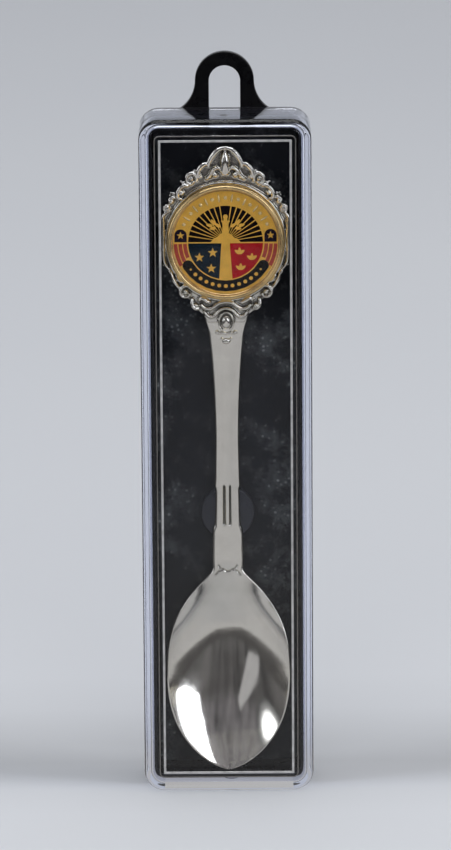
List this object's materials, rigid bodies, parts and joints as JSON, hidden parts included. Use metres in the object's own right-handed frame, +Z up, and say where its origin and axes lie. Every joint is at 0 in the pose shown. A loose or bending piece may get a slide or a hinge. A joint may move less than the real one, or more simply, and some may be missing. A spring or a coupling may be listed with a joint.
{
  "type": "souvenir spoon in display case",
  "caption": "Collector's silver spoon with a round enamelled medallion in its scrolled finial, held in an upright case with a clear push-fit lid, a black tray and a hang loop.",
  "frame": {"origin": "on the surface the case stands on, at the middle of its width and of its depth", "axes": "+Z up towards the hang loop, -Y out of the clear front window, +X to the right as seen from the front"},
  "size_m": [0.032, 0.0144, 0.14],
  "materials": {
    "clear_plastic": "clear glossy moulded polystyrene",
    "black_plastic": "glossy black moulded polystyrene",
    "black_card": "black flock-coated card with light dust",
    "black_foam": "dark grey closed-cell foam",
    "clear_adhesive": "clear soft tacky dot",
    "silver_plate": "polished silver plate on cast zinc",
    "adhesive_film": "thin cream double-sided film",
    "gilt_metal": "polished gilt brass",
    "gilt_relief": "gilt brass, stamped relief",
    "enamel_black": "glossy near-black enamel",
    "enamel_blue": "glossy dark teal-blue enamel",
    "enamel_red": "glossy red enamel",
    "enamel_salmon": "glossy salmon-red enamel",
    "enamel_violet": "glossy dark violet enamel",
    "enamel_dark_green": "glossy dark olive-black enamel",
    "clear_epoxy": "clear domed epoxy"
  },
  "bodies": {
    "tray": {"case_tray": "black_plastic", "backing_card": "black_card", "foam_post": "black_foam", "adhesive_dot": "clear_adhesive"},
    "spoon": {"spoon": "silver_plate", "medallion_adhesive": "adhesive_film", "medallion_cup": "gilt_metal", "emblem_plate": "gilt_relief", "enamel_night_fan": "enamel_black", "enamel_blue_field": "enamel_blue", "enamel_red_field": "enamel_red", "enamel_side_bands": "enamel_salmon", "enamel_roundels": "enamel_violet", "enamel_ribbon": "enamel_dark_green", "epoxy_dome": "clear_epoxy"},
    "lid": {"case_lid": "clear_plastic"}
  },
  "joints": [
    {"name": "spoon_lift", "type": "slide", "parent": "tray", "child": "spoon", "axis": [0, -1, 0], "range_m": [0, 0.03]},
    {"name": "lid_snap", "type": "slide", "parent": "spoon", "child": "lid", "axis": [0, -1, 0], "range_m": [0, 0.04]}
  ]
}
